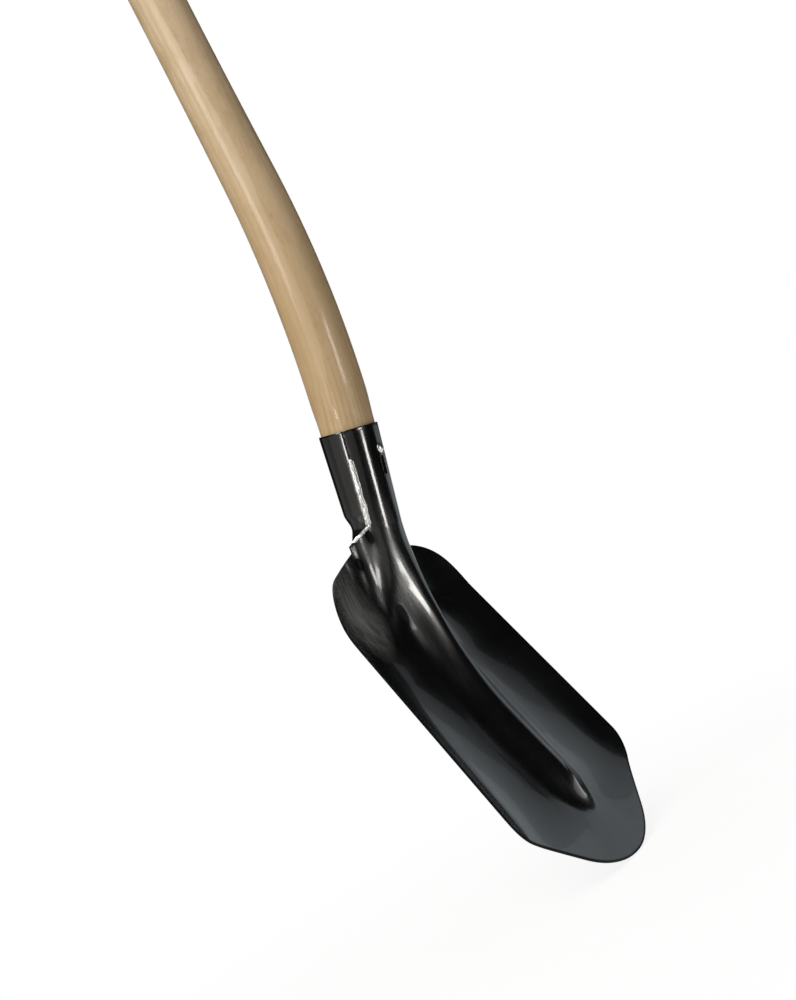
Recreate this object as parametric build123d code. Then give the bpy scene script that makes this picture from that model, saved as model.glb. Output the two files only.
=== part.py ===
from build123d import *
from math import atan, cos, degrees, hypot, pi, radians, sin, tan
import os

# Long-handled scoop shovel: a pressed steel blade with a hollow rib, whose rear end is the front of a
# tapered socket; a strap welded on behind closes the socket round a bent ash handle.
# Lengths are millimetres and angles degrees. Stations run from the socket's mouth towards the tip, in the
# plane of the blade's side rims.

# Pressed sheet
sheet = 1.6

# Socket
mouth_radius = 21.8
socket_taper = 0.0343
socket_tilt = 31.5
mouth_height = 60.9
seam_angle = 72.0
seam_gap = 0.2
seat_clearance = 0.1
waist_length = 22.0
waist_depth = 2.5

# Outline of the blade
edge_station = 62.2
edge_half_width = 25.0
shoulder_station = 67.0
shoulder_slope = 18.0
shoulder_radius = 50.0
rear_station = 93.5
rear_half_width = 88.3
corner_station = 291.0
corner_half_width = 100.2
corner_radius = 30.0
tip_slope = 41.0
tip_station = 351.0

# Trough of the blade
neck_station = 61.5
pan_depth = 9.6
rise_station = 188.5
rise_power = 2.5
tip_depth = 0.9
shoulder_lift = 13.9
shoulder_end_station = 130.5
wall_angle = 27.0
wall_fade_station = 261.5
wall_end_station = 345.5
root_fullness = 0.9
wall_fullness = 0.85

# Rib
crest_station = 108.5
crest_height = 21.0
flare_station = 163.5
rib_station = 228.5
rib_height = 10.6
rib_half_width = 36.0
front_rib_half_width = 33.0
nose_station = 267.5
nose_half_width = 20.0
nose_end_station = 319.5
rib_softness = 0.85
rib_sharpness = 5.0

# Handle
handle_length = 1100.0
handle_clearance = 0.2
seat_depth = 58.0
bend_angle = 13.1
bend_radius = 849.0
swell_radius = 20.9
swell_length = 28.0
taper_start = 36.0
taper_end = 316.0
grip_radius = 19.0
end_chamfer = 3.0
butt_fillet = 9.0
grip_to_butt = 150.0

# Fixing screw and the slot below it
screw_station = 18.5
screw_head_radius = 3.8
screw_head_height = 2.6
screw_shank_radius = 2.0
screw_length = 20.0
screw_clearance = 0.15
slot_start = 23.5
slot_length = 13.0
slot_width = 4.6

# Weld beads
weld_start = 23.0
weld_radius = 2.6
weld_rise = 1.5

tilt = radians(socket_tilt)
level_station = 2 * (mouth_height + pan_depth) / tan(tilt) - neck_station


def share(start, end, value):
    return min(max((value - start) / (end - start), 0.0), 1.0)


def ease(start, end, value):
    """Step from 0 to 1 with no kink in slope or curvature."""
    t = share(start, end, value)
    return t**3 * (10 - 15 * t + 6 * t**2)


def socket_radius(depth):
    return mouth_radius - socket_taper * depth


def spine(s):
    """Height and downward slope of the sheet's base line: the socket's axis, then the floor of the pan."""
    if s < neck_station:
        return mouth_height - s * tan(tilt), tilt
    if s < level_station:
        past = s - neck_station
        bend = tan(tilt) / (level_station - neck_station)
        return mouth_height - s * tan(tilt) + bend * past**2 / 2, atan(tan(tilt) - bend * past)
    rise, length = pan_depth - tip_depth, tip_station - rise_station
    t = max(s - rise_station, 0.0) / length
    climb = rise_power * rise * t ** (rise_power - 1) / length
    return rise * t**rise_power - pan_depth, -atan(climb)


def arch(s):
    """Height, half width and softness of the arch: round in the socket, a bell in the rib, then flat."""
    if s < neck_station:
        return socket_radius(s / cos(tilt)), socket_radius(s / cos(tilt)), 0.0
    neck = socket_radius(neck_station / cos(tilt))
    height = neck + (crest_height - neck) * ease(neck_station, crest_station, s)
    height += (rib_height - crest_height) * ease(crest_station, rib_station, s)
    half = neck + (rib_half_width - neck) * ease(neck_station, flare_station, s)
    half += (front_rib_half_width - rib_half_width) * ease(rib_station, nose_station, s)
    half += (nose_half_width - front_rib_half_width) * ease(nose_station, nose_end_station, s)
    soft = rib_softness * ease(neck_station, flare_station, s)
    return height * (1 - ease(nose_station, nose_end_station, s)), half, soft


def side_half_width(s):
    return rear_half_width + (corner_half_width - rear_half_width) * (s - rear_station) / (
        corner_station - rear_station
    )


def rim_height(s):
    lift = shoulder_lift * (1 - ease(neck_station, shoulder_end_station, s))
    return lift - tip_depth * ease(nose_station, tip_station, s)


def profile(u, s):
    """Front face of the sheet across station s: the arch for u up to 1, then a wing out to the rim at 2."""
    base, slope = spine(s)
    height, half, soft = arch(s)
    v = min(abs(u), 1.0)
    x = half * ((1 - soft) * sin(v * pi / 2) + soft * v)
    n = height * ((1 - soft) * cos(v * pi / 2) + soft * cos(v * pi / 2) ** rib_sharpness)
    t = abs(u) - 1
    if t > 0:
        span = side_half_width(s) - half
        rim = (rim_height(s) - base) / cos(slope)
        out, down = soft, -(1 - soft) * pi / 2 * height / half
        pull = root_fullness * span / hypot(out, down)
        push = wall_fullness * span
        wall = radians(wall_angle) * (1 - ease(wall_fade_station, wall_end_station, s))
        outer = 3 * t**2 - 2 * t**3
        root_turn = t**3 - 2 * t**2 + t
        wall_turn = t**3 - t**2
        x = half + outer * span + root_turn * pull * out + wall_turn * push * cos(wall)
        n = outer * rim + root_turn * pull * down + wall_turn * push * sin(wall)
    return (x if u > 0 else -x), n


def back_profile(u, s):
    step = 0.001
    x, n = profile(u, s)
    x0, n0 = profile(u - step, s)
    x1, n1 = profile(u + step, s)
    size = hypot(x1 - x0, n1 - n0)
    return x + (n1 - n0) / size * sheet, n - (x1 - x0) / size * sheet


def section_plane(s):
    base, slope = spine(s)
    return Plane(origin=(0, -s, base), x_dir=(1, 0, 0), z_dir=(0, -cos(slope), -sin(slope)))


def sheet_section(s):
    across = [i / 8 - 2 for i in range(33)]
    front = section_plane(s) * Spline(*[profile(u, s) for u in across])
    back = section_plane(s) * Spline(*[back_profile(u, s) for u in across])
    return Wire([front, Line(front @ 1, back @ 1), back, Line(back @ 0, front @ 0)])


def stations():
    """Sections of the loft, closer together where the form changes fast."""
    stretches = [
        (0.0, neck_station, 8),
        (neck_station, rise_station, 14),
        (rise_station, nose_station, 7),
        (nose_station, nose_end_station, 8),
        (nose_end_station, tip_station + 6 * sheet, 4),
    ]
    marks = []
    for start, end, count in stretches:
        marks += [start + (end - start) * i / count for i in range(count)]
    return marks + [stretches[-1][1]]


def blade_outline():
    """Plan of the blade: the socket's strip, sloping shoulders, widening sides and a rounded point."""
    widen = (corner_half_width - rear_half_width) / (corner_station - rear_station)
    fall = tan(radians(shoulder_slope))
    rear = rear_half_width + widen * (shoulder_station - rear_station)
    shoulder_x = (rear - widen * fall * edge_half_width) / (1 - widen * fall)
    shoulder_s = shoulder_station + fall * (shoulder_x - edge_half_width)
    point = corner_station + corner_half_width * tan(radians(tip_slope))
    tip_radius = (point - tip_station) / (1 / cos(radians(tip_slope)) - 1)
    right = [
        (edge_half_width, edge_half_width),
        (edge_half_width, -shoulder_station),
        (shoulder_x, -shoulder_s),
        (corner_half_width, -corner_station),
    ]
    left = [(-x, y) for x, y in reversed(right)]
    with BuildSketch() as plan:
        with BuildLine():
            Polyline(*right, (0, -point), *left, close=True)
        make_face()
        rounds = [(shoulder_s, shoulder_radius), (corner_station, corner_radius), (point, tip_radius)]
        for s, radius in rounds:
            fillet(plan.vertices().filter_by(lambda v: abs(v.Y + s) < sheet), radius)
    return plan.sketch


def behind_seams(angle, length):
    """The part of the socket's space that lies behind the two seams."""
    reach = 3 * mouth_radius
    edge_x, edge_n = reach * sin(radians(angle)), reach * cos(radians(angle))
    right = [(0, 0), (edge_x, edge_n), (reach, -reach)]
    wedge = Polygon(*right, (-reach, -reach), (-edge_x, edge_n), align=None)
    return extrude(mouth * wedge, amount=length, dir=mouth.z_dir)


def socket_cone(inset, length):
    radii = mouth_radius - inset, socket_radius(length) - inset
    return mouth * Cone(*radii, length, align=(Align.CENTER, Align.CENTER, Align.MIN))


def across_socket(depth):
    """Plane on the socket's axis that faces the front of the socket."""
    return Plane(mouth.from_local_coords((0, 0, depth)), x_dir=(1, 0, 0), z_dir=mouth.y_dir)


mouth = section_plane(0.0)
socket_reach = 2 * edge_station
whole_socket = socket_cone(0.0, socket_reach)

# Screw, driven into the handle through the front of the socket
screw_plane = across_socket(screw_station)
screw_seat = socket_radius(screw_station)
head_sphere = (screw_head_radius**2 + screw_head_height**2) / (2 * screw_head_height)
head = Pos(0, 0, screw_seat + screw_head_height - head_sphere) * Sphere(head_sphere)
head &= Pos(0, 0, screw_seat) * Cylinder(screw_head_radius, 2 * screw_head_height)
shank = Pos(0, 0, screw_seat - screw_length) * Cylinder(
    screw_shank_radius, screw_length, align=(Align.CENTER, Align.CENTER, Align.MIN)
)
fixing_screw = (screw_plane * head - socket_cone(-seat_clearance, socket_reach)) + screw_plane * shank
hole_depth = screw_length + screw_clearance
screw_hole = screw_plane * Pos(0, 0, screw_seat - hole_depth) * Cylinder(
    screw_shank_radius + screw_clearance,
    hole_depth + screw_head_height,
    align=(Align.CENTER, Align.CENTER, Align.MIN),
)

# Blade with the front of the socket, pressed from one sheet
pressed = Solid.make_loft([sheet_section(s) for s in stations()])
blade = pressed & extrude(blade_outline(), amount=2 * mouth_height, both=True)
rear_space = behind_seams(seam_angle, socket_reach)
above_edge = Pos(0, -edge_station) * Box(
    8 * mouth_radius, 2 * socket_reach, 6 * mouth_height, align=(Align.CENTER, Align.MIN, Align.CENTER)
)
blade -= rear_space & above_edge
slot_plane = across_socket(slot_start + slot_length / 2)
slot = extrude(slot_plane * SlotOverall(slot_length, slot_width, rotation=90), amount=2 * mouth_radius)
blade = blade - slot - screw_hole

# Strap behind the seams, drawn in to a waist below the handle and cut off level with the sheet's rear edge
def strap_line(inset):
    """Line down the strap's wall, this far inside the face of the socket."""
    waist = []
    for i in range(13):
        k = seat_depth + waist_length * i / 12
        waist.append((socket_radius(k) - inset - waist_depth * sin(pi * i / 12) ** 2, 0, k))
    slope = (-socket_taper, 0, 1)
    first = (socket_radius(0.0) - inset, 0, 0)
    last = (socket_radius(socket_reach) - inset, 0, socket_reach)
    return [Line(first, waist[0]), Spline(*waist, tangents=[slope, slope]), Line(waist[-1], last)]


outside, inside = strap_line(0.0), strap_line(sheet)
ends = [Line(outside[0] @ 0, inside[0] @ 0), Line(outside[-1] @ 1, inside[-1] @ 1)]
strap = mouth * revolve(Face(Wire(outside + inside + ends)), Axis.Z)
strap_angle = seam_angle + degrees(seam_gap / mouth_radius)
socket_strap = strap & behind_seams(strap_angle, socket_reach) & above_edge.moved(Location((0, seam_gap, 0)))

# Weld beads along both seams
seam_n = mouth_radius * cos(radians(seam_angle))
weld_end = (edge_station - seam_n * sin(tilt)) / cos(tilt) - weld_radius
weld_sink = weld_radius - weld_rise
welds = []
for side in (-1, 1):
    turn = side * radians(seam_angle)
    ends = []
    for k in (weld_start, weld_end):
        r = socket_radius(k) - weld_sink
        ends.append(mouth.from_local_coords((r * sin(turn), r * cos(turn), k)))
    run = Plane(ends[0], z_dir=ends[1] - ends[0])
    length = (ends[1] - ends[0]).length
    bead = run * Cylinder(weld_radius, length, align=(Align.CENTER, Align.CENTER, Align.MIN))
    bead += [Sphere(weld_radius).moved(Location(end)) for end in ends]
    welds.append(bead - socket_cone(-seat_clearance, socket_reach))
left_weld_bead, right_weld_bead = welds

# Handle: a tapered seat in the socket, one long bend that thins into the straight grip, and the butt
bend_length = bend_radius * radians(bend_angle)
seat_radius = mouth_radius - sheet - handle_clearance
seat_end_radius = seat_radius - socket_taper * seat_depth
seat = Cone(seat_radius, seat_end_radius, seat_depth, align=(Align.CENTER, Align.CENTER, Align.MIN))
seat = mouth * chamfer(seat.edges().sort_by(Axis.Z)[-1], end_chamfer)


def handle_plane(length):
    """Plane across the handle this far above the socket's mouth."""
    angle = tilt - share(0.0, bend_length, length) * radians(bend_angle)
    past = max(length - bend_length, 0.0)
    y = bend_radius * (sin(tilt) - sin(angle)) + past * cos(angle)
    z = mouth_height + bend_radius * (cos(angle) - cos(tilt)) + past * sin(angle)
    return Plane(origin=(0, y, z), x_dir=(1, 0, 0), z_dir=(0, cos(angle), sin(angle)))


def handle_radius(length):
    swell = (swell_radius - seat_radius) * ease(0.0, swell_length, length)
    return seat_radius + swell + (grip_radius - swell_radius) * ease(taper_start, taper_end, length)


def handle_run(start, end, count):
    lengths = [start + (end - start) * i / count for i in range(count + 1)]
    return loft([handle_plane(length) * Circle(handle_radius(length)) for length in lengths])


bend = handle_run(0.0, bend_length, 8)
taper = handle_run(bend_length, taper_end, 4)
straight = handle_length - seat_depth - taper_end
grip = Cylinder(grip_radius, straight, align=(Align.CENTER, Align.CENTER, Align.MIN))
grip = handle_plane(taper_end) * fillet(grip.edges().sort_by(Axis.Z)[-1], butt_fillet)
handle = seat + bend + taper + grip - screw_hole

# The part's own frame: origin on the grip's axis, handle straight up, hollow of the blade to the front
top = handle_plane(taper_end)
frame = Plane(top.from_local_coords((0, 0, straight - grip_to_butt)), x_dir=(1, 0, 0), z_dir=top.z_dir)
nodes = {
    "blade": blade,
    "socket_strap": socket_strap,
    "left_weld_bead": left_weld_bead,
    "right_weld_bead": right_weld_bead,
    "handle": handle,
    "fixing_screw": fixing_screw,
}
os.makedirs("parts", exist_ok=True)
for name, shape in nodes.items():
    export_step(frame.to_local_coords(shape), f"parts/{name}.step")
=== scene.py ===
from math import atan, cos, hypot, pi, radians, sin, sqrt, tan

import bpy
from mathutils import Matrix, Vector, noise


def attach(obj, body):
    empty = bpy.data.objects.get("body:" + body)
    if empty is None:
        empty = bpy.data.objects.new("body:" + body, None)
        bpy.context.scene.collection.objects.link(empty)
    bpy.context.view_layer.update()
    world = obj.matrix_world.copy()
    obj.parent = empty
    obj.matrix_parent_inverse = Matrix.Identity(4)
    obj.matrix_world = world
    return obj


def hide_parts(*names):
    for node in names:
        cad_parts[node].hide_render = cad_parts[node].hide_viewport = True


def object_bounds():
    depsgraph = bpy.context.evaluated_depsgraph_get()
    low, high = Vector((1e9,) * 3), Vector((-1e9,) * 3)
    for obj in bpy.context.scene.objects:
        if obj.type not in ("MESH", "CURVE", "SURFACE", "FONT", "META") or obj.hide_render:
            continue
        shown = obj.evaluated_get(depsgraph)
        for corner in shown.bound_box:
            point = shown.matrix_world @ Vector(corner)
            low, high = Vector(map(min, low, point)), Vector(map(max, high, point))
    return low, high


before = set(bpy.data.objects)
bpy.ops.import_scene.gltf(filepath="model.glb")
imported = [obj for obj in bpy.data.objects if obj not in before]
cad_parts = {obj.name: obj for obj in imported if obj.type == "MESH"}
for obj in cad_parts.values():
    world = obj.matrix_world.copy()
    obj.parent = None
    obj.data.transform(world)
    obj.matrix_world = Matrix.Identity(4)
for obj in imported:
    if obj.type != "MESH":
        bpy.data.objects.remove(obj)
cad_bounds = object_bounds()

# Lengths are millimetres and angles radians, with the sizes of the part's own source. Stations run from the
# socket's mouth towards the tip, in the plane of the blade's side rims.

# Pressed sheet, its rounded edges and the dull band along the blade's rim
sheet = 1.6
edge_round = 0.35
edge_band = 2.4

# Socket
mouth_radius = 21.8
socket_taper = 0.0343
tilt = radians(31.5)
mouth_height = 60.9
seam_angle = radians(72.0)
seam_gap = 0.2
waist_length = 22.0
waist_depth = 2.5

# Outline of the blade
edge_station = 62.2
edge_half_width = 25.0
shoulder_station = 67.0
shoulder_slope = radians(18.0)
shoulder_radius = 50.0
rear_station = 93.5
rear_half_width = 88.3
corner_station = 291.0
corner_half_width = 100.2
corner_radius = 30.0
tip_slope = radians(41.0)
tip_station = 351.0

# Trough of the blade
neck_station = 61.5
pan_depth = 9.6
rise_station = 188.5
rise_power = 2.5
tip_depth = 0.9
shoulder_lift = 13.9
shoulder_end_station = 130.5
wall_angle = radians(27.0)
wall_fade_station = 261.5
wall_end_station = 345.5
root_fullness = 0.9
wall_fullness = 0.85

# Rib
crest_station = 108.5
crest_height = 21.0
flare_station = 163.5
rib_station = 228.5
rib_height = 10.6
rib_half_width = 36.0
front_rib_half_width = 33.0
nose_station = 267.5
nose_half_width = 20.0
nose_end_station = 319.5
rib_softness = 0.85
rib_sharpness = 5.0

# Handle
handle_length = 1100.0
handle_clearance = 0.2
seat_depth = 58.0
bend_angle = radians(13.1)
bend_radius = 849.0
swell_radius = 20.9
swell_length = 28.0
taper_start = 36.0
taper_end = 316.0
grip_radius = 19.0
end_chamfer = 3.0
butt_fillet = 9.0
grip_to_butt = 150.0

# Fixing screw and the slot below it; only the shank's upper part is made here
screw_station = 18.5
screw_head_radius = 3.8
screw_head_height = 2.6
screw_shank_radius = 2.0
screw_clearance = 0.15
shank_length = 12.0
shank_point = 1.0
head_gap = 0.1
head_slope = 0.02
head_bevel = 0.25
dome_start = 0.6
slot_start = 23.5
slot_length = 13.0
slot_width = 4.6
cutter_low, cutter_high = 8.0, 30.0

# Weld beads, and the run of weld on down the sheet's rear edge, between two places across it
weld_start = 23.0
weld_radius = 2.6
bead_rise = 0.38
bead_sink = 0.3
bead_root = 0.6
bead_drift = 0.5
bead_lumps, added_lumps = 0.12, 0.4
run_radius = 1.5
run_lumps = 0.8
run_from, run_to = 0.76, 1.18

# Areas of the lacquer: station, place across it, scales per metre along x, y and z, and share that is full
# Painted sheen: a pale grey film on the front of the left shoulder, standing in for a reflection there
painted_sheen_area = (106.0, 1.54, (36.0, 36.0, 21.0), 0.1)
dull_areas = (
    (122.0, 0.63, (72.0, 72.0, 30.0), 0.25),
    (80.0, 1.17, (170.0, 170.0, 90.0), 0.4),
    (65.0, 0.87, (170.0, 170.0, 75.0), 0.4),
)
rubbed_middle = (0.0, -88.0, 12.0)
rubbed_full, rubbed_end = 25.0, 56.0

# Fineness of the meshes: start, end and rows of each stretch of the blade, then counts of cells
blade_rows = ((0.0, 60.0, 26), (60.0, 76.0, 42), (76.0, 106.0, 40), (106.0, 266.0, 96), (266.0, 306.0, 44))
tip_rows = 60
tip_gap = 0.012
blade_columns = 160
slot_steps, hole_steps = 16, 32
strap_rows, strap_columns = 56, 96
bead_rows, bead_columns = 170, 20
bead_first_rows, bead_last_rows = 8, 4
run_rows, run_columns = 70, 16
run_first_rows, run_last_rows = 6, 10
seat_rows, stave_rows, fillet_rows, butt_rows = 20, 200, 12, 4
stave_columns = 72
dome_rows, screw_columns = 14, 48
floor_columns = 96

level_station = 2 * (mouth_height + pan_depth) / tan(tilt) - neck_station
widen = (corner_half_width - rear_half_width) / (corner_station - rear_station)
seat_radius = mouth_radius - sheet - handle_clearance
bend_length = bend_radius * bend_angle
butt = handle_length - seat_depth


def share(start, end, value):
    """How far the value has come from start to end, held between 0 and 1."""
    return min(max((value - start) / (end - start), 0.0), 1.0)


def ease(start, end, value):
    """Step from 0 to 1 with no kink in slope or curvature."""
    t = share(start, end, value)
    return t**3 * (10 - 15 * t + 6 * t**2)


def steps(start, end, count):
    """Even steps from start up to the one before the end."""
    return [start + (end - start) * i / count for i in range(count)]


# Frames: the blade's own, the socket's and the part's


def handle_plane(length):
    """Centre of the handle this far above the socket's mouth, and the direction of its front there."""
    angle = tilt - share(0.0, bend_length, length) * bend_angle
    past = min(length, 0.0) + max(length - bend_length, 0.0)
    y = bend_radius * (sin(tilt) - sin(angle)) + past * cos(angle)
    z = mouth_height + bend_radius * (cos(angle) - cos(tilt)) + past * sin(angle)
    return Vector((0, y, z)), Vector((0, -sin(angle), cos(angle)))


lean = tilt - bend_angle
origin, _ = handle_plane(butt - grip_to_butt)
to_part = Matrix(((1, 0, 0), (0, sin(lean), -cos(lean)), (0, cos(lean), sin(lean))))


def placed(point):
    """Point of the blade's own frame, in millimetres, as a point of the part's frame, in metres."""
    return to_part @ (Vector(point) - origin) / 1000


def on_socket(x, n, k):
    """Point of the socket's own frame: x to the right, n to the front, k along the axis from the mouth."""
    return placed((x, -k * cos(tilt) - n * sin(tilt), mouth_height - k * sin(tilt) + n * cos(tilt)))


# Form of the pressed sheet


def socket_radius(depth):
    """Radius of the socket's face this far along its axis from the mouth."""
    return mouth_radius - socket_taper * depth


def spine(s):
    """Height and downward slope of the sheet's base line: the socket's axis, then the floor of the pan."""
    if s < neck_station:
        return mouth_height - s * tan(tilt), tilt
    if s < level_station:
        past = s - neck_station
        bend = tan(tilt) / (level_station - neck_station)
        return mouth_height - s * tan(tilt) + bend * past**2 / 2, atan(tan(tilt) - bend * past)
    rise, length = pan_depth - tip_depth, tip_station - rise_station
    t = max(s - rise_station, 0.0) / length
    climb = rise_power * rise * t ** (rise_power - 1) / length
    return rise * t**rise_power - pan_depth, -atan(climb)


def arch(s):
    """Height, half width and softness of the arch: round in the socket, a bell in the rib, then flat."""
    if s < neck_station:
        return socket_radius(s / cos(tilt)), socket_radius(s / cos(tilt)), 0.0
    neck = socket_radius(neck_station / cos(tilt))
    height = neck + (crest_height - neck) * ease(neck_station, crest_station, s)
    height += (rib_height - crest_height) * ease(crest_station, rib_station, s)
    half = neck + (rib_half_width - neck) * ease(neck_station, flare_station, s)
    half += (front_rib_half_width - rib_half_width) * ease(rib_station, nose_station, s)
    half += (nose_half_width - front_rib_half_width) * ease(nose_station, nose_end_station, s)
    soft = rib_softness * ease(neck_station, flare_station, s)
    return height * (1 - ease(nose_station, nose_end_station, s)), half, soft


def side_half_width(s):
    """Half width of the blade between its straight sides."""
    return rear_half_width + widen * (s - rear_station)


def rim_height(s):
    """Height of the blade's rim: lifted at the shoulders, and a little lower at the tip."""
    lift = shoulder_lift * (1 - ease(neck_station, shoulder_end_station, s))
    return lift - tip_depth * ease(nose_station, tip_station, s)


class Section:
    """Cross section of the sheet at one station: the arch for u up to 1, then a wing to the rim at 2."""

    def __init__(self, s):
        self.s = s
        self.base, self.slope = spine(s)
        self.height, self.half, self.soft = arch(s)
        self.span = side_half_width(s) - self.half
        self.rim = (rim_height(s) - self.base) / cos(self.slope)
        # The wing leaves the arch in the direction (out, down), as far as pull, and ends at the wall's slope
        self.out = self.soft
        self.down = -(1 - self.soft) * pi / 2 * self.height / self.half
        self.pull = root_fullness * self.span / hypot(self.out, self.down) if self.span > 0 else 0.0
        self.wall = wall_angle * (1 - ease(wall_fade_station, wall_end_station, s))

    def front(self, u):
        """Place of the front face, across the section and square to its base line."""
        v = min(abs(u), 1.0)
        round_part, bell_part = 1 - self.soft, self.soft
        x = self.half * (round_part * sin(v * pi / 2) + bell_part * v)
        n = self.height * (round_part * cos(v * pi / 2) + bell_part * cos(v * pi / 2) ** rib_sharpness)
        t = abs(u) - 1
        if t > 0:
            outer = 3 * t**2 - 2 * t**3
            root_turn = (t**3 - 2 * t**2 + t) * self.pull
            wall_turn = (t**3 - t**2) * wall_fullness * self.span
            x = self.half + outer * self.span + root_turn * self.out + wall_turn * cos(self.wall)
            n = outer * self.rim + root_turn * self.down + wall_turn * sin(self.wall)
        return (x if u > 0 else -x), n

    def back(self, u):
        """Place of the back face, one sheet behind the front."""
        step = 0.001
        x, n = self.front(u)
        x0, n0 = self.front(u - step)
        x1, n1 = self.front(u + step)
        size = hypot(x1 - x0, n1 - n0)
        return x + (n1 - n0) / size * sheet, n - (x1 - x0) / size * sheet

    def point(self, x, n):
        """Place in the section as a point of the part's frame."""
        return placed((x, -self.s - n * sin(self.slope), self.base + n * cos(self.slope)))

    def inside(self, x, n, u):
        """Whether the sheet is there: up to the seam in the socket, inside the plan in the blade."""
        station = self.s + n * sin(self.slope)
        if station < edge_station:
            return u <= seam_angle / (pi / 2)
        return x <= plan_half_width(station)

    def limit(self, face):
        """Largest u at which the sheet is still there."""
        step, u = 0.01, 0.0
        while u < 2.0 and self.inside(*face(u + step), u + step):
            u += step
        low, high = u, u + step
        for _ in range(24):
            middle = (low + high) / 2
            if self.inside(*face(middle), middle):
                low = middle
            else:
                high = middle
        return low


# Plan of the blade: straight shoulders, sides and tip, all rounded into each other
shoulder_in = Vector((-sin(shoulder_slope), cos(shoulder_slope)))
side_in = Vector((-1, widen)).normalized()
tip_in = Vector((-sin(tip_slope), -cos(tip_slope)))
sharp_tip = corner_station + corner_half_width * tan(tip_slope)
tip_radius = (sharp_tip - tip_station) / (1 / cos(tip_slope) - 1)


def meet(first, first_reach, second, second_reach):
    """Point where two lines meet, each given by the direction square to it and its reach along that."""
    det = first.x * second.y - first.y * second.x
    x = (first_reach * second.y - first.y * second_reach) / det
    s = (first.x * second_reach - first_reach * second.x) / det
    return Vector((x, s))


corner = Vector((corner_half_width, corner_station))
side_reach, tip_reach = side_in.dot(corner), tip_in.dot(corner)
shoulder_reach = shoulder_in.dot(Vector((edge_half_width, shoulder_station)))
shoulder_centre = meet(shoulder_in, shoulder_reach + shoulder_radius, side_in, side_reach + shoulder_radius)
corner_centre = meet(side_in, side_reach + corner_radius, tip_in, tip_reach + corner_radius)
tip_centre = Vector((0, tip_station - tip_radius))


def arc_half_width(centre, radius, s):
    """Half width to a rounded corner of the plan."""
    return centre.x + sqrt(max(radius**2 - (s - centre.y) ** 2, 0.0))


def plan_half_width(s):
    """Half width of the blade's plan."""
    if s < shoulder_station:
        return edge_half_width
    if s < (shoulder_centre - shoulder_in * shoulder_radius).y:
        return edge_half_width + (s - shoulder_station) / tan(shoulder_slope)
    if s < (shoulder_centre - side_in * shoulder_radius).y:
        return arc_half_width(shoulder_centre, shoulder_radius, s)
    if s < (corner_centre - side_in * corner_radius).y:
        return side_half_width(s)
    if s < (corner_centre - tip_in * corner_radius).y:
        return arc_half_width(corner_centre, corner_radius, s)
    if s < (tip_centre - tip_in * tip_radius).y:
        return (sharp_tip - s) / tan(tip_slope)
    return arc_half_width(tip_centre, tip_radius, s)


def rim_share(s, x):
    """1 on the blade's rim, falling to 0 across the band along it."""
    half_step = 0.5
    slant = plan_half_width(min(s + half_step, tip_station)) - plan_half_width(s - half_step)
    gap = (plan_half_width(s) - abs(x)) / sqrt(1 + slant**2)
    return 1 - share(0.0, edge_band, min(gap, tip_station - s))


# Mesh helpers


def new_object(name, verts, faces, smooth=True):
    """New mesh object in the scene, smooth or faceted."""
    mesh = bpy.data.meshes.new(name)
    mesh.from_pydata(verts, [], faces)
    mesh.validate()
    if smooth:
        mesh.shade_smooth()
    piece = bpy.data.objects.new(name, mesh)
    bpy.context.scene.collection.objects.link(piece)
    return piece


def grid_faces(rows, columns, first, flip=False):
    """Faces of a grid with so many cells, whose points start at the index first."""
    faces = []
    for i in range(rows):
        for j in range(columns):
            a = first + i * (columns + 1) + j
            quad = (a, a + 1, a + columns + 2, a + columns + 1)
            faces.append(quad[::-1] if flip else quad)
    return faces


def tube_faces(rings, columns, flip=False):
    """Faces between rings of points, each ring closed on itself."""
    faces = []
    for i in range(rings - 1):
        for j in range(columns):
            a, b = i * columns + j, i * columns + (j + 1) % columns
            quad = (a, b, b + columns, a + columns)
            faces.append(quad[::-1] if flip else quad)
    return faces


def shell(name, outer, inner, edge):
    """Closed sheet between two grids of points, with a rounded rim; edge has a value for each point."""
    rows, columns = len(outer), len(outer[0])
    shift = rows * columns
    verts = [point for row in outer + inner for point in row]
    faces = grid_faces(rows - 1, columns - 1, 0) + grid_faces(rows - 1, columns - 1, shift, flip=True)
    loop = [(0, j) for j in range(columns)]
    loop += [(i, columns - 1) for i in range(1, rows)]
    loop += [(rows - 1, j) for j in range(columns - 2, -1, -1)]
    loop += [(i, 0) for i in range(rows - 2, 0, -1)]
    rounding = edge_round / 1000
    corner_cut = rounding * (1 - sqrt(0.5))
    strips = []
    for k, (i, j) in enumerate(loop):
        before, after = loop[k - 1], loop[(k + 1) % len(loop)]
        front, back = outer[i][j], inner[i][j]
        tangent = outer[after[0]][after[1]] - outer[before[0]][before[1]]
        through = (front - back).normalized()
        away = tangent.cross(through).normalized()
        middle = outer[min(max(i, 1), rows - 2)][min(max(j, 1), columns - 2)]
        if away.dot(front - middle) < 0:
            away = -away
        at, first = i * columns + j, len(verts)
        verts[at] = front - away * rounding
        verts[at + shift] = back - away * rounding
        verts += [
            front - (away + through) * corner_cut,
            front - through * rounding,
            back + through * rounding,
            back - (away - through) * corner_cut,
        ]
        strips.append((at, first, first + 1, first + 2, first + 3, at + shift))
    for k, strip in enumerate(strips):
        following = strips[(k + 1) % len(strips)]
        for q in range(len(strip) - 1):
            faces.append((strip[q], strip[q + 1], following[q + 1], following[q]))
    piece = new_object(name, verts, faces)
    values = [value for row in edge for value in row] * 2 + [edge[i][j] for i, j in loop for _ in range(4)]
    piece.data.attributes.new("edge", "FLOAT", "POINT").data.foreach_set("value", values)
    return piece


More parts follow.
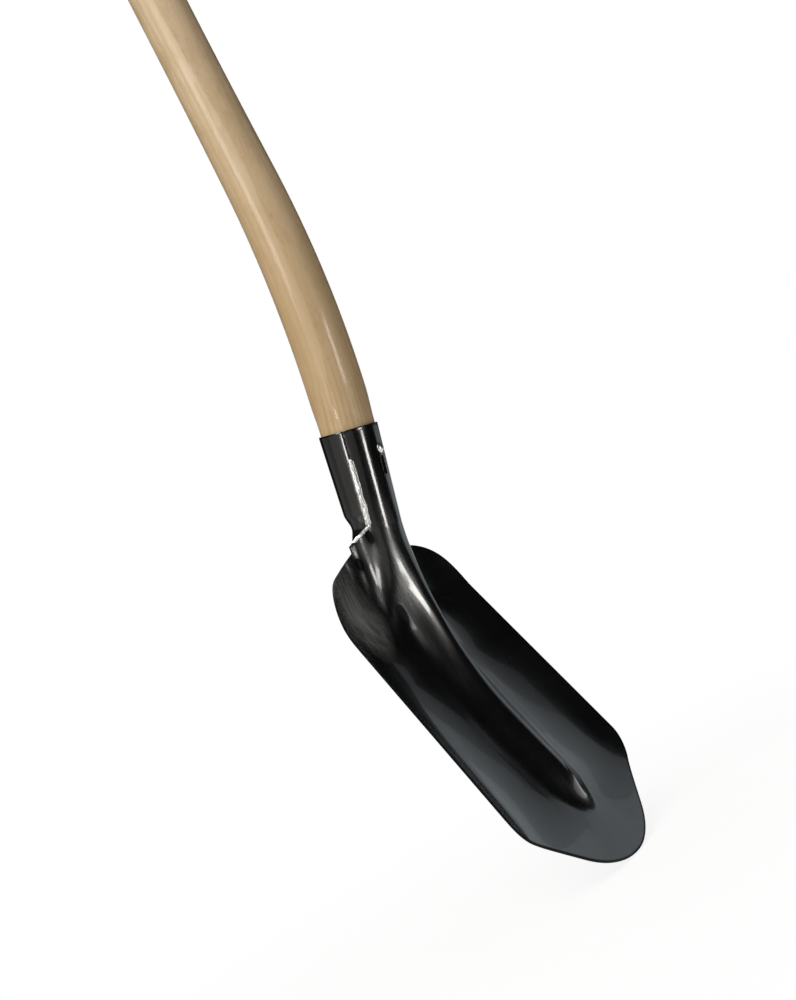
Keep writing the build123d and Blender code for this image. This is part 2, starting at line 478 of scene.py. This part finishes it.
def prism(name, outline):
    """Upright prism through the front of the socket, to cut with; its outline is in x and k."""
    count = len(outline)
    verts = [on_socket(x, n, k) for n in (cutter_low, cutter_high) for x, k in outline]
    faces = [tuple(range(count)), tuple(range(2 * count - 1, count - 1, -1))]
    faces += [(i, i + count, (i + 1) % count + count, (i + 1) % count) for i in range(count)]
    return new_object(name, verts, faces, smooth=False)


def cut(piece, *cutters):
    """Takes the cutters out of the piece, and removes them."""
    for cutter in cutters:
        modifier = piece.modifiers.new("cut", "BOOLEAN")
        modifier.operation = "DIFFERENCE"
        modifier.solver = "EXACT"
        modifier.object = cutter
    bpy.context.view_layer.update()
    evaluated = piece.evaluated_get(bpy.context.evaluated_depsgraph_get())
    mesh = bpy.data.meshes.new_from_object(evaluated)
    piece.modifiers.clear()
    piece.data = mesh
    for cutter in cutters:
        bpy.data.objects.remove(cutter)


# Blade


def blade_stations():
    """Stations of the mesh's rows, closer together where the form changes fast and towards the tip."""
    stations = [s for stretch in blade_rows for s in steps(*stretch)]
    tip_length = tip_station - blade_rows[-1][1]
    return stations + [tip_station - tip_length * w * w for w in steps(1.0, tip_gap, tip_rows)]


def blade_sheet():
    """Pressed sheet of the blade and of the socket's front."""
    across = [2 * j / blade_columns - 1 for j in range(blade_columns + 1)]
    outer, inner, edge = [], [], []
    for s in blade_stations():
        section = Section(s)
        front_limit, back_limit = section.limit(section.front), section.limit(section.back)
        front = [section.front(v * front_limit) for v in across]
        outer.append([section.point(x, n) for x, n in front])
        inner.append([section.point(*section.back(v * back_limit)) for v in across])
        edge.append([rim_share(s, x) for x, _ in front])
    return shell("blade_sheet", outer, inner, edge)


def slot_outline():
    """Outline of the slot below the screw, in x and k."""
    half = slot_width / 2
    outline = []
    for centre, start in ((slot_start + slot_length - half, 0.0), (slot_start + half, pi)):
        for i in range(slot_steps + 1):
            angle = start + pi * i / slot_steps
            outline.append((half * cos(angle), centre + half * sin(angle)))
    return outline


def hole_outline():
    """Outline of the screw's hole, in x and k."""
    radius = screw_shank_radius + screw_clearance
    angles = steps(0.0, 2 * pi, hole_steps)
    return [(radius * cos(angle), screw_station + radius * sin(angle)) for angle in angles]


blade = blade_sheet()
cut(blade, prism("slot_cutter", slot_outline()), prism("hole_cutter", hole_outline()))
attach(blade, "root")
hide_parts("blade")

# Strap behind the seams, with a waist below the handle
seam_n = mouth_radius * cos(seam_angle)
seam_end = (edge_station - seam_n * sin(tilt)) / cos(tilt)
strap_angle = seam_angle + seam_gap / mouth_radius


def strap_radius(k):
    """Radius of the strap's outer face, drawn in at the waist."""
    return socket_radius(k) - waist_depth * sin(pi * share(seat_depth, seat_depth + waist_length, k)) ** 2


def strap_end(angle, inset):
    """Depth at which the strap's lower edge crosses the line at this angle from the front."""
    k = seam_end
    for _ in range(30):
        k = (edge_station - seam_gap - (strap_radius(k) - inset) * cos(angle) * sin(tilt)) / cos(tilt)
    return k


def strap_grid(inset):
    """Points of the strap this far inside its outer face, in rows from the mouth down."""
    turn = 2 * (pi - strap_angle) / strap_columns
    angles = [strap_angle + turn * i for i in range(strap_columns + 1)]
    ends = [strap_end(angle, inset) for angle in angles]
    grid = []
    for j in range(strap_rows + 1):
        row = []
        for angle, end in zip(angles, ends):
            k = end * j / strap_rows
            r = strap_radius(k) - inset
            row.append(on_socket(r * sin(angle), r * cos(angle), k))
        grid.append(row)
    return grid


no_edge = [[0.0] * (strap_columns + 1)] * (strap_rows + 1)
strap = shell("socket_rear", strap_grid(0.0), strap_grid(sheet), no_edge)
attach(strap, "root")
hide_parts("socket_strap")

# Weld beads: low uneven lumps along both seams, and a short run on down the rear edge of the sheet


def lumps(seed, along, across):
    """Uneven height, from a coarse and a fine noise."""
    coarse = noise.noise(Vector((seed, 0.45 * along, 0.5 * across)))
    fine = noise.noise(Vector((seed + 5, 1.1 * along, 1.2 * across)))
    return 0.62 * coarse + 0.38 * fine


def seam_run(side, seed):
    """Points and faces of the bead along one seam, which gets rougher towards its lower end."""
    start, end = weld_start - weld_radius, seam_end
    middle = side * seam_angle
    verts, roots = [], []
    for i in range(bead_rows + 1):
        k = start + (end - start) * i / bead_rows
        r = socket_radius(k)
        taper = sqrt(share(0, bead_first_rows, i)) * sqrt(share(bead_rows, bead_rows - bead_last_rows, i))
        wide = weld_radius * (0.95 + 0.2 * noise.noise(Vector((seed + 4, 0.21 * k, 1.3))))
        wide *= 0.4 + 0.6 * taper
        drift = bead_drift * noise.noise(Vector((seed + 8, 0.09 * k, 5.0)))
        rough = bead_lumps + added_lumps * ease(0.4 * end, end, k)
        for j in range(bead_columns + 1):
            v = 2 * j / bead_columns - 1
            crown = (1 - v**4) * taper
            rise = (bead_rise + rough * lumps(seed, k, wide * v)) * crown - bead_sink * (1 - crown)
            angle = middle + (wide * v + drift) / r
            verts.append(on_socket((r + rise) * sin(angle), (r + rise) * cos(angle), k))
        roots.append(on_socket((r - bead_root) * sin(middle), (r - bead_root) * cos(middle), k))
    faces = grid_faces(bead_rows, bead_columns, 0, flip=side > 0)
    low = len(verts)
    for i in range(bead_rows):
        a, b = i * (bead_columns + 1), (i + 1) * (bead_columns + 1)
        right_side = (a + bead_columns, low + i, low + i + 1, b + bead_columns)
        left_side = (low + i, a, b, low + i + 1)
        faces += [quad if side < 0 else quad[::-1] for quad in (right_side, left_side)]
    return verts + roots, faces


def edge_point(u):
    """Point in the middle of the sheet on its rear edge."""
    s = edge_station
    for _ in range(20):
        section = Section(s)
        s = edge_station - section.front(u)[1] * sin(section.slope)
    return (section.point(*section.front(u)) + section.point(*section.back(u))) / 2


def edge_run(side, seed, first):
    """Points and faces of the run on one side, whose points start at the index first."""
    path = [edge_point(side * (run_from + (run_to - run_from) * i / run_rows)) for i in range(run_rows + 1)]
    verts = []
    for i, centre in enumerate(path):
        along = (path[min(i + 1, run_rows)] - path[max(i - 1, 0)]).normalized()
        over = along.cross(Vector((0, 0, 1))).normalized()
        up = over.cross(along)
        taper = sqrt(share(-1, run_first_rows, i) * share(run_rows + 1, run_rows - run_last_rows, i))
        for j in range(run_columns + 1):
            angle = 2 * pi * j / run_columns
            bulge = run_radius + run_lumps * lumps(seed + 20, 0.3 * i, 2.5 * sin(angle) + 2.5 * cos(angle))
            verts.append(centre + (over * cos(angle) + up * sin(angle)) * (bulge * taper / 1000))
    return verts, grid_faces(run_rows, run_columns, first)


def weld_bead(name, side, seed):
    """Bead and run on one side: -1 is the left and 1 the right."""
    verts, faces = seam_run(side, seed)
    run_verts, run_faces = edge_run(side, seed, len(verts))
    return new_object(name, verts + run_verts, faces + run_faces)


left_weld = weld_bead("left_weld", -1, 1.7)
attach(left_weld, "root")
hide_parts("left_weld_bead")
right_weld = weld_bead("right_weld", 1, 6.4)
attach(right_weld, "root")
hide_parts("right_weld_bead")

# Handle: rings along the seat, the bend and the straight grip


def handle_radius(length):
    """Radius this far above the socket's mouth: a swell, and then the taper to the grip."""
    swell = (swell_radius - seat_radius) * ease(0.0, swell_length, length)
    return seat_radius + swell + (grip_radius - swell_radius) * ease(taper_start, taper_end, length)


def handle_rings():
    """Length above the socket's mouth and radius of each ring, from the end in the socket to the butt."""
    rings = [(-seat_depth, 0.0), (-seat_depth, seat_radius - socket_taper * seat_depth - end_chamfer)]
    for k in steps(seat_depth - end_chamfer, 0.0, seat_rows):
        rings.append((-k, seat_radius - socket_taper * k))
    for length in steps(0.0, butt - butt_fillet, stave_rows):
        rings.append((length, handle_radius(length)))
    for i in range(fillet_rows + 1):
        angle = pi / 2 * i / fillet_rows
        rings.append((butt - butt_fillet * (1 - sin(angle)), grip_radius - butt_fillet * (1 - cos(angle))))
    for i in range(1, butt_rows + 1):
        rings.append((butt, (grip_radius - butt_fillet) * (1 - i / butt_rows)))
    return rings


def handle_stave():
    """The bent handle; each point also keeps its place in the stave as it was before bending."""
    rings = handle_rings()
    verts, stave = [], []
    for length, r in rings:
        centre, front = handle_plane(length)
        for angle in steps(0.0, 2 * pi, stave_columns):
            x, n = r * sin(angle), r * cos(angle)
            verts.append(placed(centre + Vector((x, 0, 0)) + front * n))
            stave += [x / 1000, n / 1000, length / 1000]
    piece = new_object("handle_stave", verts, tube_faces(len(rings), stave_columns))
    piece.data.attributes.new("stave", "FLOAT_VECTOR", "POINT").data.foreach_set("vector", stave)
    return piece


handle = handle_stave()
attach(handle, "root")
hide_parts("handle")

# Screw: a domed head on a short length of shank


def screw_profile():
    """Radius and height of each ring, from the shank's point to the top of the head."""
    seat = socket_radius(screw_station)
    profile = [
        (0.0, seat - shank_length),
        (screw_shank_radius, seat - shank_length + shank_point),
        (screw_shank_radius, seat + head_gap),
        (screw_head_radius - head_bevel, seat + head_gap + head_slope),
        (screw_head_radius, seat + head_gap + head_bevel),
    ]
    sphere = (screw_head_radius**2 + screw_head_height**2) / (2 * screw_head_height)
    for i in range(dome_rows + 1):
        rise = dome_start + (screw_head_height - dome_start) * sin(pi / 2 * i / dome_rows)
        below = sphere - screw_head_height + rise
        profile.append((sqrt(max(sphere**2 - below**2, 0.0)), seat + rise))
    return profile


def domed_screw():
    """The profile turned round the screw's axis."""
    profile = screw_profile()
    verts = []
    for r, n in profile:
        for angle in steps(0.0, 2 * pi, screw_columns):
            verts.append(on_socket(r * cos(angle), n, screw_station + r * sin(angle)))
    return new_object("screw", verts, tube_faces(len(profile), screw_columns, flip=True))


screw = domed_screw()
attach(screw, "root")
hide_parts("fixing_screw")

# Materials


class Nodes:
    """Short way to write the nodes of a material or of the world."""

    def __init__(self, tree):
        self.tree = tree

    def add(self, kind, **settings):
        """New node with these settings."""
        node = self.tree.nodes.new(kind)
        for key, value in settings.items():
            setattr(node, key, value)
        return node

    def put(self, socket, value):
        """Links another node's output to the socket, or sets a plain value on it."""
        if isinstance(value, bpy.types.NodeSocket):
            self.tree.links.new(value, socket)
        else:
            socket.default_value = value

    def fill(self, node, values):
        """Puts each value on the socket of that name."""
        for key, value in values.items():
            self.put(node.inputs[key], value)

    def feed(self, node, values):
        """Fills the node's first sockets in their order, and gives its outputs."""
        for socket, value in zip(node.inputs, values):
            self.put(socket, value)
        return node.outputs

    def place(self):
        """Place in the part, in metres."""
        return self.add("ShaderNodeTexCoord").outputs["Object"]

    def attribute(self, name):
        return self.add("ShaderNodeAttribute", attribute_name=name).outputs

    def stretched(self, vector, scale):
        node = self.add("ShaderNodeMapping")
        self.fill(node, {"Vector": vector, "Scale": scale})
        return node.outputs["Vector"]

    def noise(self, vector, scale, detail=3.0, roughness=0.5):
        """Noise at a scale per metre, or at three scales along the axes."""
        if isinstance(scale, tuple):
            vector, scale = self.stretched(vector, scale), 1.0
        node = self.add("ShaderNodeTexNoise")
        self.fill(node, {"Vector": vector, "Scale": scale, "Detail": detail, "Roughness": roughness})
        return node.outputs["Fac"]

    def ramp(self, value, *stops):
        """Grey level by value, through the stops."""
        node = self.add("ShaderNodeValToRGB")
        elements = node.color_ramp.elements
        while len(elements) < len(stops):
            elements.new(0.5)
        for element, (position, level) in zip(elements, stops):
            element.position = position
            element.color = (level, level, level, 1.0)
        self.put(node.inputs["Fac"], value)
        return node.outputs["Color"]

    def range(self, value, low, high, start=0.0, end=1.0, blend="LINEAR"):
        """Value from low to high while the input goes from start to end, and held there beyond."""
        node = self.add("ShaderNodeMapRange", interpolation_type=blend)
        limits = {"From Min": start, "From Max": end, "To Min": low, "To Max": high}
        self.fill(node, {"Value": value, **limits})
        return node.outputs["Result"]

    def math(self, operation, *values):
        return self.feed(self.add("ShaderNodeMath", operation=operation), values)["Value"]

    def plus(self, first, second):
        return self.math("ADD", first, second)

    def times(self, first, second):
        return self.math("MULTIPLY", first, second)

    def most(self, first, second):
        return self.math("MAXIMUM", first, second)

    def vector(self, operation, *values):
        return self.feed(self.add("ShaderNodeVectorMath", operation=operation), values)

    def split(self, vector):
        return self.feed(self.add("ShaderNodeSeparateXYZ"), [vector])

    def mix(self, factor, first, second):
        """Colour between two colours."""
        node = self.add("ShaderNodeMix", data_type="RGBA")
        sockets = (node.inputs[0], node.inputs[6], node.inputs[7])
        for socket, value in zip(sockets, (factor, first, second)):
            self.put(socket, (*value, 1.0) if isinstance(value, tuple) else value)
        return node.outputs[2]

    def bump(self, height, strength, distance, normal=None):
        node = self.add("ShaderNodeBump")
        self.fill(node, {"Height": height, "Strength": strength, "Distance": distance})
        if normal is not None:
            self.put(node.inputs["Normal"], normal)
        return node.outputs["Normal"]

    def blend(self, factor, first, second):
        """Shader between two shaders."""
        return self.feed(self.add("ShaderNodeMixShader"), (factor, first, second))["Shader"]


def new_material(name):
    """New material, its nodes and its shader."""
    material = bpy.data.materials.new(name)
    material.use_nodes = True
    return material, Nodes(material.node_tree), material.node_tree.nodes["Principled BSDF"]


def near(nodes, place, area):
    """1 in the middle of an area of the sheet and 0 at its limit, alike on the left and the right."""
    station, u, scale, full = area
    section = Section(station)
    middle = [abs(value) for value in section.point(*section.front(u))]
    apart = nodes.vector("SUBTRACT", nodes.vector("ABSOLUTE", place)["Vector"], middle)["Vector"]
    away = nodes.vector("LENGTH", nodes.stretched(apart, scale))["Value"]
    return nodes.range(away, 1.0, 0.0, full, 1.0)


def lacquer(name, peel, haze, dark, light, metal):
    """Satin finish of the pressed steel, uneven and rubbed, with a painted sheen on the left shoulder; with
    much metal, that of the bright weld.
    """
    material, nodes, shader = new_material(name)
    place = nodes.place()
    normal = nodes.add("ShaderNodeNewGeometry").outputs["Normal"]
    front = nodes.range(nodes.split(normal)["Y"], 1.0, 0.0, 0.0, 0.25)
    left = nodes.range(nodes.split(place)["X"], 1.0 - metal, 0.0, -0.03, 0.0)
    cloud = nodes.noise(place, 18.0, 4.0)
    streak = nodes.noise(place, (260.0, 260.0, 22.0), roughness=0.6)

    # Colour, with specks all over and a painted sheen, a pale grey stand-in for a reflection, on the front
    # of the left shoulder
    colour = nodes.mix(nodes.range(cloud, 0.0, 1.0, 0.35, 0.7), dark, light)
    specks = nodes.range(nodes.noise(place, 1500.0, 1.0), 0.0, 0.3, 0.74, 0.82)
    colour = nodes.mix(specks, colour, (0.03, 0.03, 0.031))
    painted_sheen = nodes.times(near(nodes, place, painted_sheen_area), nodes.range(streak, 0.45, 1.0, 0.35, 0.65))
    colour = nodes.mix(nodes.times(painted_sheen, nodes.times(front, left)), colour, (0.25, 0.255, 0.245))

    # Gloss: hazier and brighter where the neck is rubbed, dull in some areas and along the rim
    away = nodes.vector("DISTANCE", place, placed(rubbed_middle))["Value"]
    rubbed = nodes.range(away, 1.0, 0.0, rubbed_full / 1000, rubbed_end / 1000)
    rubbed = nodes.times(rubbed, nodes.range(streak, 0.55, 1.0, 0.35, 0.6))
    rough = nodes.range(cloud, haze, haze + 0.06, 0.3, 0.7)
    rough = nodes.plus(rough, nodes.range(streak, 0.0, 0.06, 0.45, 0.75))
    rough = nodes.plus(rough, nodes.times(rubbed, 0.06))
    dull = 0.0
    for area in dull_areas:
        dull = nodes.most(dull, near(nodes, place, area))
    rim = nodes.range(nodes.attribute("edge")["Fac"], 0.0, 0.9, 0.1, 0.5)
    dull = nodes.most(nodes.times(dull, front), rim)

    # Relief: slow waves of the pressing, drawn grain and fine peel
    wave = nodes.bump(nodes.noise(place, 26.0, 2.0), 0.12, 0.0012)
    drawn = nodes.noise(place, (900.0, 900.0, 45.0), roughness=0.65)
    grain = nodes.bump(drawn, 0.25, 0.00016, wave)
    fine = nodes.noise(place, 900.0, 2.0)
    nodes.fill(
        shader,
        {
            "Base Color": colour,
            "Metallic": metal,
            "Roughness": rough,
            "IOR": 1.52,
            "Specular IOR Level": nodes.times(nodes.range(rubbed, 0.5, 0.9), nodes.range(dull, 1.0, 0.02)),
            "Coat Weight": nodes.range(dull, 0.6, 0.0),
            "Coat Roughness": 0.05,
            "Normal": nodes.bump(fine, peel, 0.0003, grain),
        },
    )
    return material


def ash():
    """Pale ash under clear lacquer: growth rings along the stave, open pores, pin knots and mottle."""
    material, nodes, shader = new_material("ash_wood")
    stave = nodes.attribute("stave")["Vector"]
    height = nodes.split(stave)["Z"]
    across = nodes.vector("DOT_PRODUCT", stave, (0.82, 0.57, 0.0))["Value"]
    deep = nodes.vector("DOT_PRODUCT", stave, (-0.57, 0.82, 0.0))["Value"]
    bow = nodes.times(across, across)
    sway = nodes.noise(stave, (6.0, 6.0, 1.6))
    ripple = nodes.noise(stave, (40.0, 40.0, 5.0), 2.0)

    # Growth rings, curved and wandering, and cut across near the socket
    depth = nodes.plus(nodes.plus(deep, nodes.times(bow, 9.0)), nodes.times(sway, 0.022))
    depth = nodes.plus(depth, nodes.times(ripple, 0.0022))
    taper = nodes.range(height, 0.055, 0.0, 0.0, 0.055)
    depth = nodes.plus(depth, nodes.times(nodes.times(taper, taper), 1.2))
    ring = nodes.math("FRACT", nodes.times(depth, 240.0))
    early = nodes.ramp(ring, (0.0, 0.0), (0.08, 1.0), (0.32, 0.55), (0.75, 0.1), (1.0, 0.0))
    fibre = nodes.noise(stave, (1600.0, 1600.0, 34.0), roughness=0.6)
    pores = nodes.noise(stave, (2600.0, 2600.0, 150.0), 1.0)
    pores = nodes.times(nodes.range(pores, 0.0, 1.0, 0.6, 0.7), early)

    # Colour: paler up the handle, mottled, with the rings
    tone = nodes.noise(stave, (14.0, 14.0, 3.0))
    tone = nodes.plus(tone, nodes.range(height, -0.2, 0.15, 0.05, 0.4))
    colour = nodes.mix(nodes.range(tone, 0.0, 1.0, 0.25, 0.75), (0.53, 0.375, 0.205), (0.74, 0.58, 0.395))
    mottle = nodes.noise(stave, (90.0, 90.0, 40.0), 4.0, 0.6)
    colour = nodes.mix(nodes.range(mottle, 0.0, 0.55, 0.45, 0.8), colour, (0.42, 0.28, 0.12))
    colour = nodes.mix(nodes.times(early, 0.34), colour, (0.44, 0.28, 0.125))

    # Dark flame lines near the socket, then fibres, pores and knots, and painted shade, near black, on the
    # wood inside the socket
    lines = nodes.plus(nodes.times(across, 2000.0), nodes.times(ripple, 16.0))
    lines = nodes.range(nodes.math("SINE", lines), 0.0, 0.55, -0.2, 1.0)
    low = nodes.range(nodes.plus(height, nodes.times(bow, 60.0)), 1.0, 0.0, 0.03, 0.066)
    colour = nodes.mix(nodes.times(lines, low), colour, (0.40, 0.25, 0.12))
    colour = nodes.mix(nodes.range(fibre, 0.0, 0.26, 0.35, 0.75), colour, (0.38, 0.24, 0.11))
    colour = nodes.mix(nodes.times(pores, 0.5), colour, (0.22, 0.125, 0.05))
    cells = nodes.add("ShaderNodeTexVoronoi")
    nodes.fill(cells, {"Vector": nodes.stretched(stave, (42.0, 42.0, 14.0)), "Scale": 1.0})
    knots = nodes.range(cells.outputs["Distance"], 1.0, 0.0, 0.02, 0.045)
    colour = nodes.mix(nodes.times(knots, 0.85), colour, (0.07, 0.035, 0.016))
    # Painted shade: the wood inside the socket turns near black, where the socket shades it
    inside = nodes.range(height, 0.92, 0.0, -0.004, 0.0)
    colour = nodes.mix(inside, colour, (0.012, 0.008, 0.005))
    relief = nodes.math("SUBTRACT", nodes.times(fibre, 0.35), pores)
    nodes.fill(
        shader,
        {
            "Base Color": colour,
            "Roughness": nodes.range(fibre, 0.42, 0.55, 0.3, 0.7),
            "Coat Weight": 0.22,
            "Coat Roughness": 0.1,
            "Normal": nodes.bump(relief, 0.25, 0.0002),
        },
    )
    return material


def zinc():
    """Bright zinc plate: cool metal with a fine tumbled grain and duller patches."""
    material, nodes, shader = new_material("zinc_steel")
    place = nodes.place()
    patch = nodes.noise(place, 700.0)
    colour = nodes.mix(nodes.range(patch, 0.0, 1.0, 0.35, 0.7), (0.62, 0.63, 0.62), (0.78, 0.79, 0.80))
    nodes.fill(
        shader,
        {
            "Base Color": colour,
            "Metallic": 1.0,
            "Roughness": nodes.range(patch, 0.22, 0.42, 0.3, 0.7),
            "Normal": nodes.bump(nodes.noise(place, 5200.0, 2.0), 0.25, 0.0001),
        },
    )
    return material


steel_dark, steel_light = (0.0018, 0.0019, 0.0021), (0.0034, 0.0036, 0.004)
weld_dark, weld_light = (0.42, 0.42, 0.41), (0.80, 0.80, 0.78)
black = lacquer("lacquered_steel", peel=0.05, haze=0.17, dark=steel_dark, light=steel_light, metal=0.0)
bright = lacquer("lacquered_weld", peel=0.12, haze=0.34, dark=weld_dark, light=weld_light, metal=0.9)
for piece in (blade, strap):
    piece.data.materials.append(black)
for piece in (left_weld, right_weld):
    piece.data.materials.append(bright)
handle.data.materials.append(ash())
screw.data.materials.append(zinc())

# Studio, in metres: floor, dim room, one key lamp, and lamps and panels that are only mirrored
floor_radius = 0.7
floor_gap = 0.0005
blade_middle = Vector((0.0, 0.02, -1.0))
room_level, mirrored_level = 0.24, 0.005
behind_part = (0.9, 0.43, 0.05)
far, close = 6.0, 0.8
white, warm, cool = (1.0, 1.0, 1.0), (1.0, 0.98, 0.94), (0.86, 0.95, 1.0)


def floor_paper():
    """White paper for the camera and in mirrors, which keeps a faint shadow in its middle."""
    material, nodes, shader = new_material("floor_paper")
    nodes.fill(shader, {"Base Color": (0.9, 0.9, 0.9, 1.0), "Roughness": 0.9})
    path = nodes.add("ShaderNodeLightPath").outputs
    seen = nodes.most(path["Is Camera Ray"], path["Is Glossy Ray"])
    seen = nodes.most(seen, path["Is Transmission Ray"])
    away = nodes.vector("LENGTH", nodes.stretched(nodes.place(), (1.0, 1.0, 0.0)))["Value"]
    plain = nodes.times(seen, nodes.range(away, 0.88, 1.0, 0.1, 0.6))
    glow = nodes.add("ShaderNodeEmission").outputs["Emission"]
    surface = nodes.blend(plain, shader.outputs["BSDF"], glow)
    nodes.put(material.node_tree.nodes["Material Output"].inputs["Surface"], surface)
    return material


def studio_world():
    """Dim room, white for the camera; mirrors see it darker, and white only in a cone behind the part."""
    world = bpy.data.worlds.new("studio")
    world.use_nodes = True
    nodes = Nodes(world.node_tree)
    path = nodes.add("ShaderNodeLightPath").outputs
    direction = nodes.add("ShaderNodeTexCoord").outputs["Generated"]
    behind = nodes.vector("DOT_PRODUCT", direction, behind_part)["Value"]
    cone = nodes.range(behind, 0.006, 0.6, 0.955, 0.99, blend="SMOOTHSTEP")
    seen = nodes.most(nodes.times(path["Is Glossy Ray"], cone), path["Is Camera Ray"])
    seen = nodes.most(seen, path["Is Transmission Ray"])
    room = world.node_tree.nodes["Background"]
    level = nodes.math("MULTIPLY_ADD", path["Is Glossy Ray"], mirrored_level - room_level, room_level)
    nodes.fill(room, {"Color": (*warm, 1.0), "Strength": level})
    paper = nodes.add("ShaderNodeBackground")
    nodes.fill(paper, {"Color": (*white, 1.0)})
    surface = nodes.blend(seen, room.outputs["Background"], paper.outputs["Background"])
    nodes.put(world.node_tree.nodes["World Output"].inputs["Surface"], surface)
    return world


def lamp(name, azimuth, elevation, distance, size, radiance, colour, lights=False):
    """Soft rectangular lamp by its bearing and size as seen from the blade, in degrees, and its brightness.

    Only the key lights the scene, with the room. The others are only mirrored.
    """
    bearing, height = radians(azimuth), radians(elevation)
    towards = Vector((sin(bearing) * cos(height), -cos(bearing) * cos(height), sin(height)))
    light = bpy.data.lights.new(name, "AREA")
    light.shape = "RECTANGLE"
    light.size, light.size_y = [2 * distance * tan(radians(angle) / 2) for angle in size]
    light.energy = radiance * pi * light.size * light.size_y
    light.color = colour
    holder = bpy.data.objects.new(name, light)
    holder.location = blade_middle + towards * distance
    holder.rotation_euler = (-towards).to_track_quat("-Z", "Y").to_euler()
    holder.visible_diffuse = lights
    bpy.context.scene.collection.objects.link(holder)


floor_z = cad_bounds[0][2] - floor_gap
angles = steps(0.0, 2 * pi, floor_columns)
floor_rim = [(floor_radius * cos(angle), floor_radius * sin(angle), floor_z) for angle in angles]
floor = new_object("floor", floor_rim, [tuple(range(floor_columns))])
floor.data.materials.append(floor_paper())
bpy.context.scene.world = studio_world()

lamp("key", -88.0, 50.0, far, (40.0, 30.0), 9.0, warm, lights=True)
lamp("left_lamp", -91.0, -5.5, far, (9.0, 6.5), 25.0, warm)
lamp("left_lamp_top", -97.0, 18.0, far, (16.0, 12.0), 11.0, warm)
lamp("left_wall", -66.0, -4.0, far, (40.0, 22.0), 0.36, warm)
lamp("left_end", -122.0, -5.0, far, (48.0, 34.0), 0.5, warm)
lamp("far_end", -168.0, -4.0, far, (44.0, 34.0), 0.26, warm)
lamp("right_lamp", -12.0, -18.0, far, (9.0, 4.2), 23.0, warm)
lamp("right_lamp_top", -14.5, -3.0, far, (12.0, 7.6), 20.0, warm)
lamp("right_wall", -12.0, -7.0, far, (36.0, 8.0), 0.6, warm)
lamp("wall_foot", 65.5, -5.0, close, (29.0, 7.1), 0.62, cool)
lamp("wall", 65.5, 1.5, close, (29.0, 5.7), 0.40, cool)
lamp("wall_top", 65.5, 7.2, close, (29.0, 5.7), 0.2, cool)
lamp("wall_end", 85.0, -2.0, close, (10.0, 14.0), 0.36, cool)
lamp("wall_end_far", 95.0, -2.0, close, (10.0, 14.0), 0.23, cool)
lamp("wall_corner", 107.0, -2.0, close, (14.0, 14.0), 0.16, cool)

# Camera, fitted to the photograph's view
camera_place = Vector((-0.98919, -0.54298, -1.01907))
camera_right = Vector((0.4588, -0.76251, -0.45615))
camera_up = Vector((0.17764, -0.42429, 0.88793))
turned = Matrix((camera_right, camera_up, camera_right.cross(camera_up))).transposed().to_4x4()
camera = bpy.data.objects.new("camera", bpy.data.cameras.new("camera"))
camera.matrix_world = Matrix.Translation(camera_place) @ turned
camera.data.sensor_fit = "VERTICAL"
camera.data.sensor_height = 36.0
camera.data.lens = 57.6
camera.data.clip_end = 50.0
bpy.context.scene.collection.objects.link(camera)
bpy.context.scene.camera = camera
bpy.context.scene.view_settings.view_transform = "Standard"
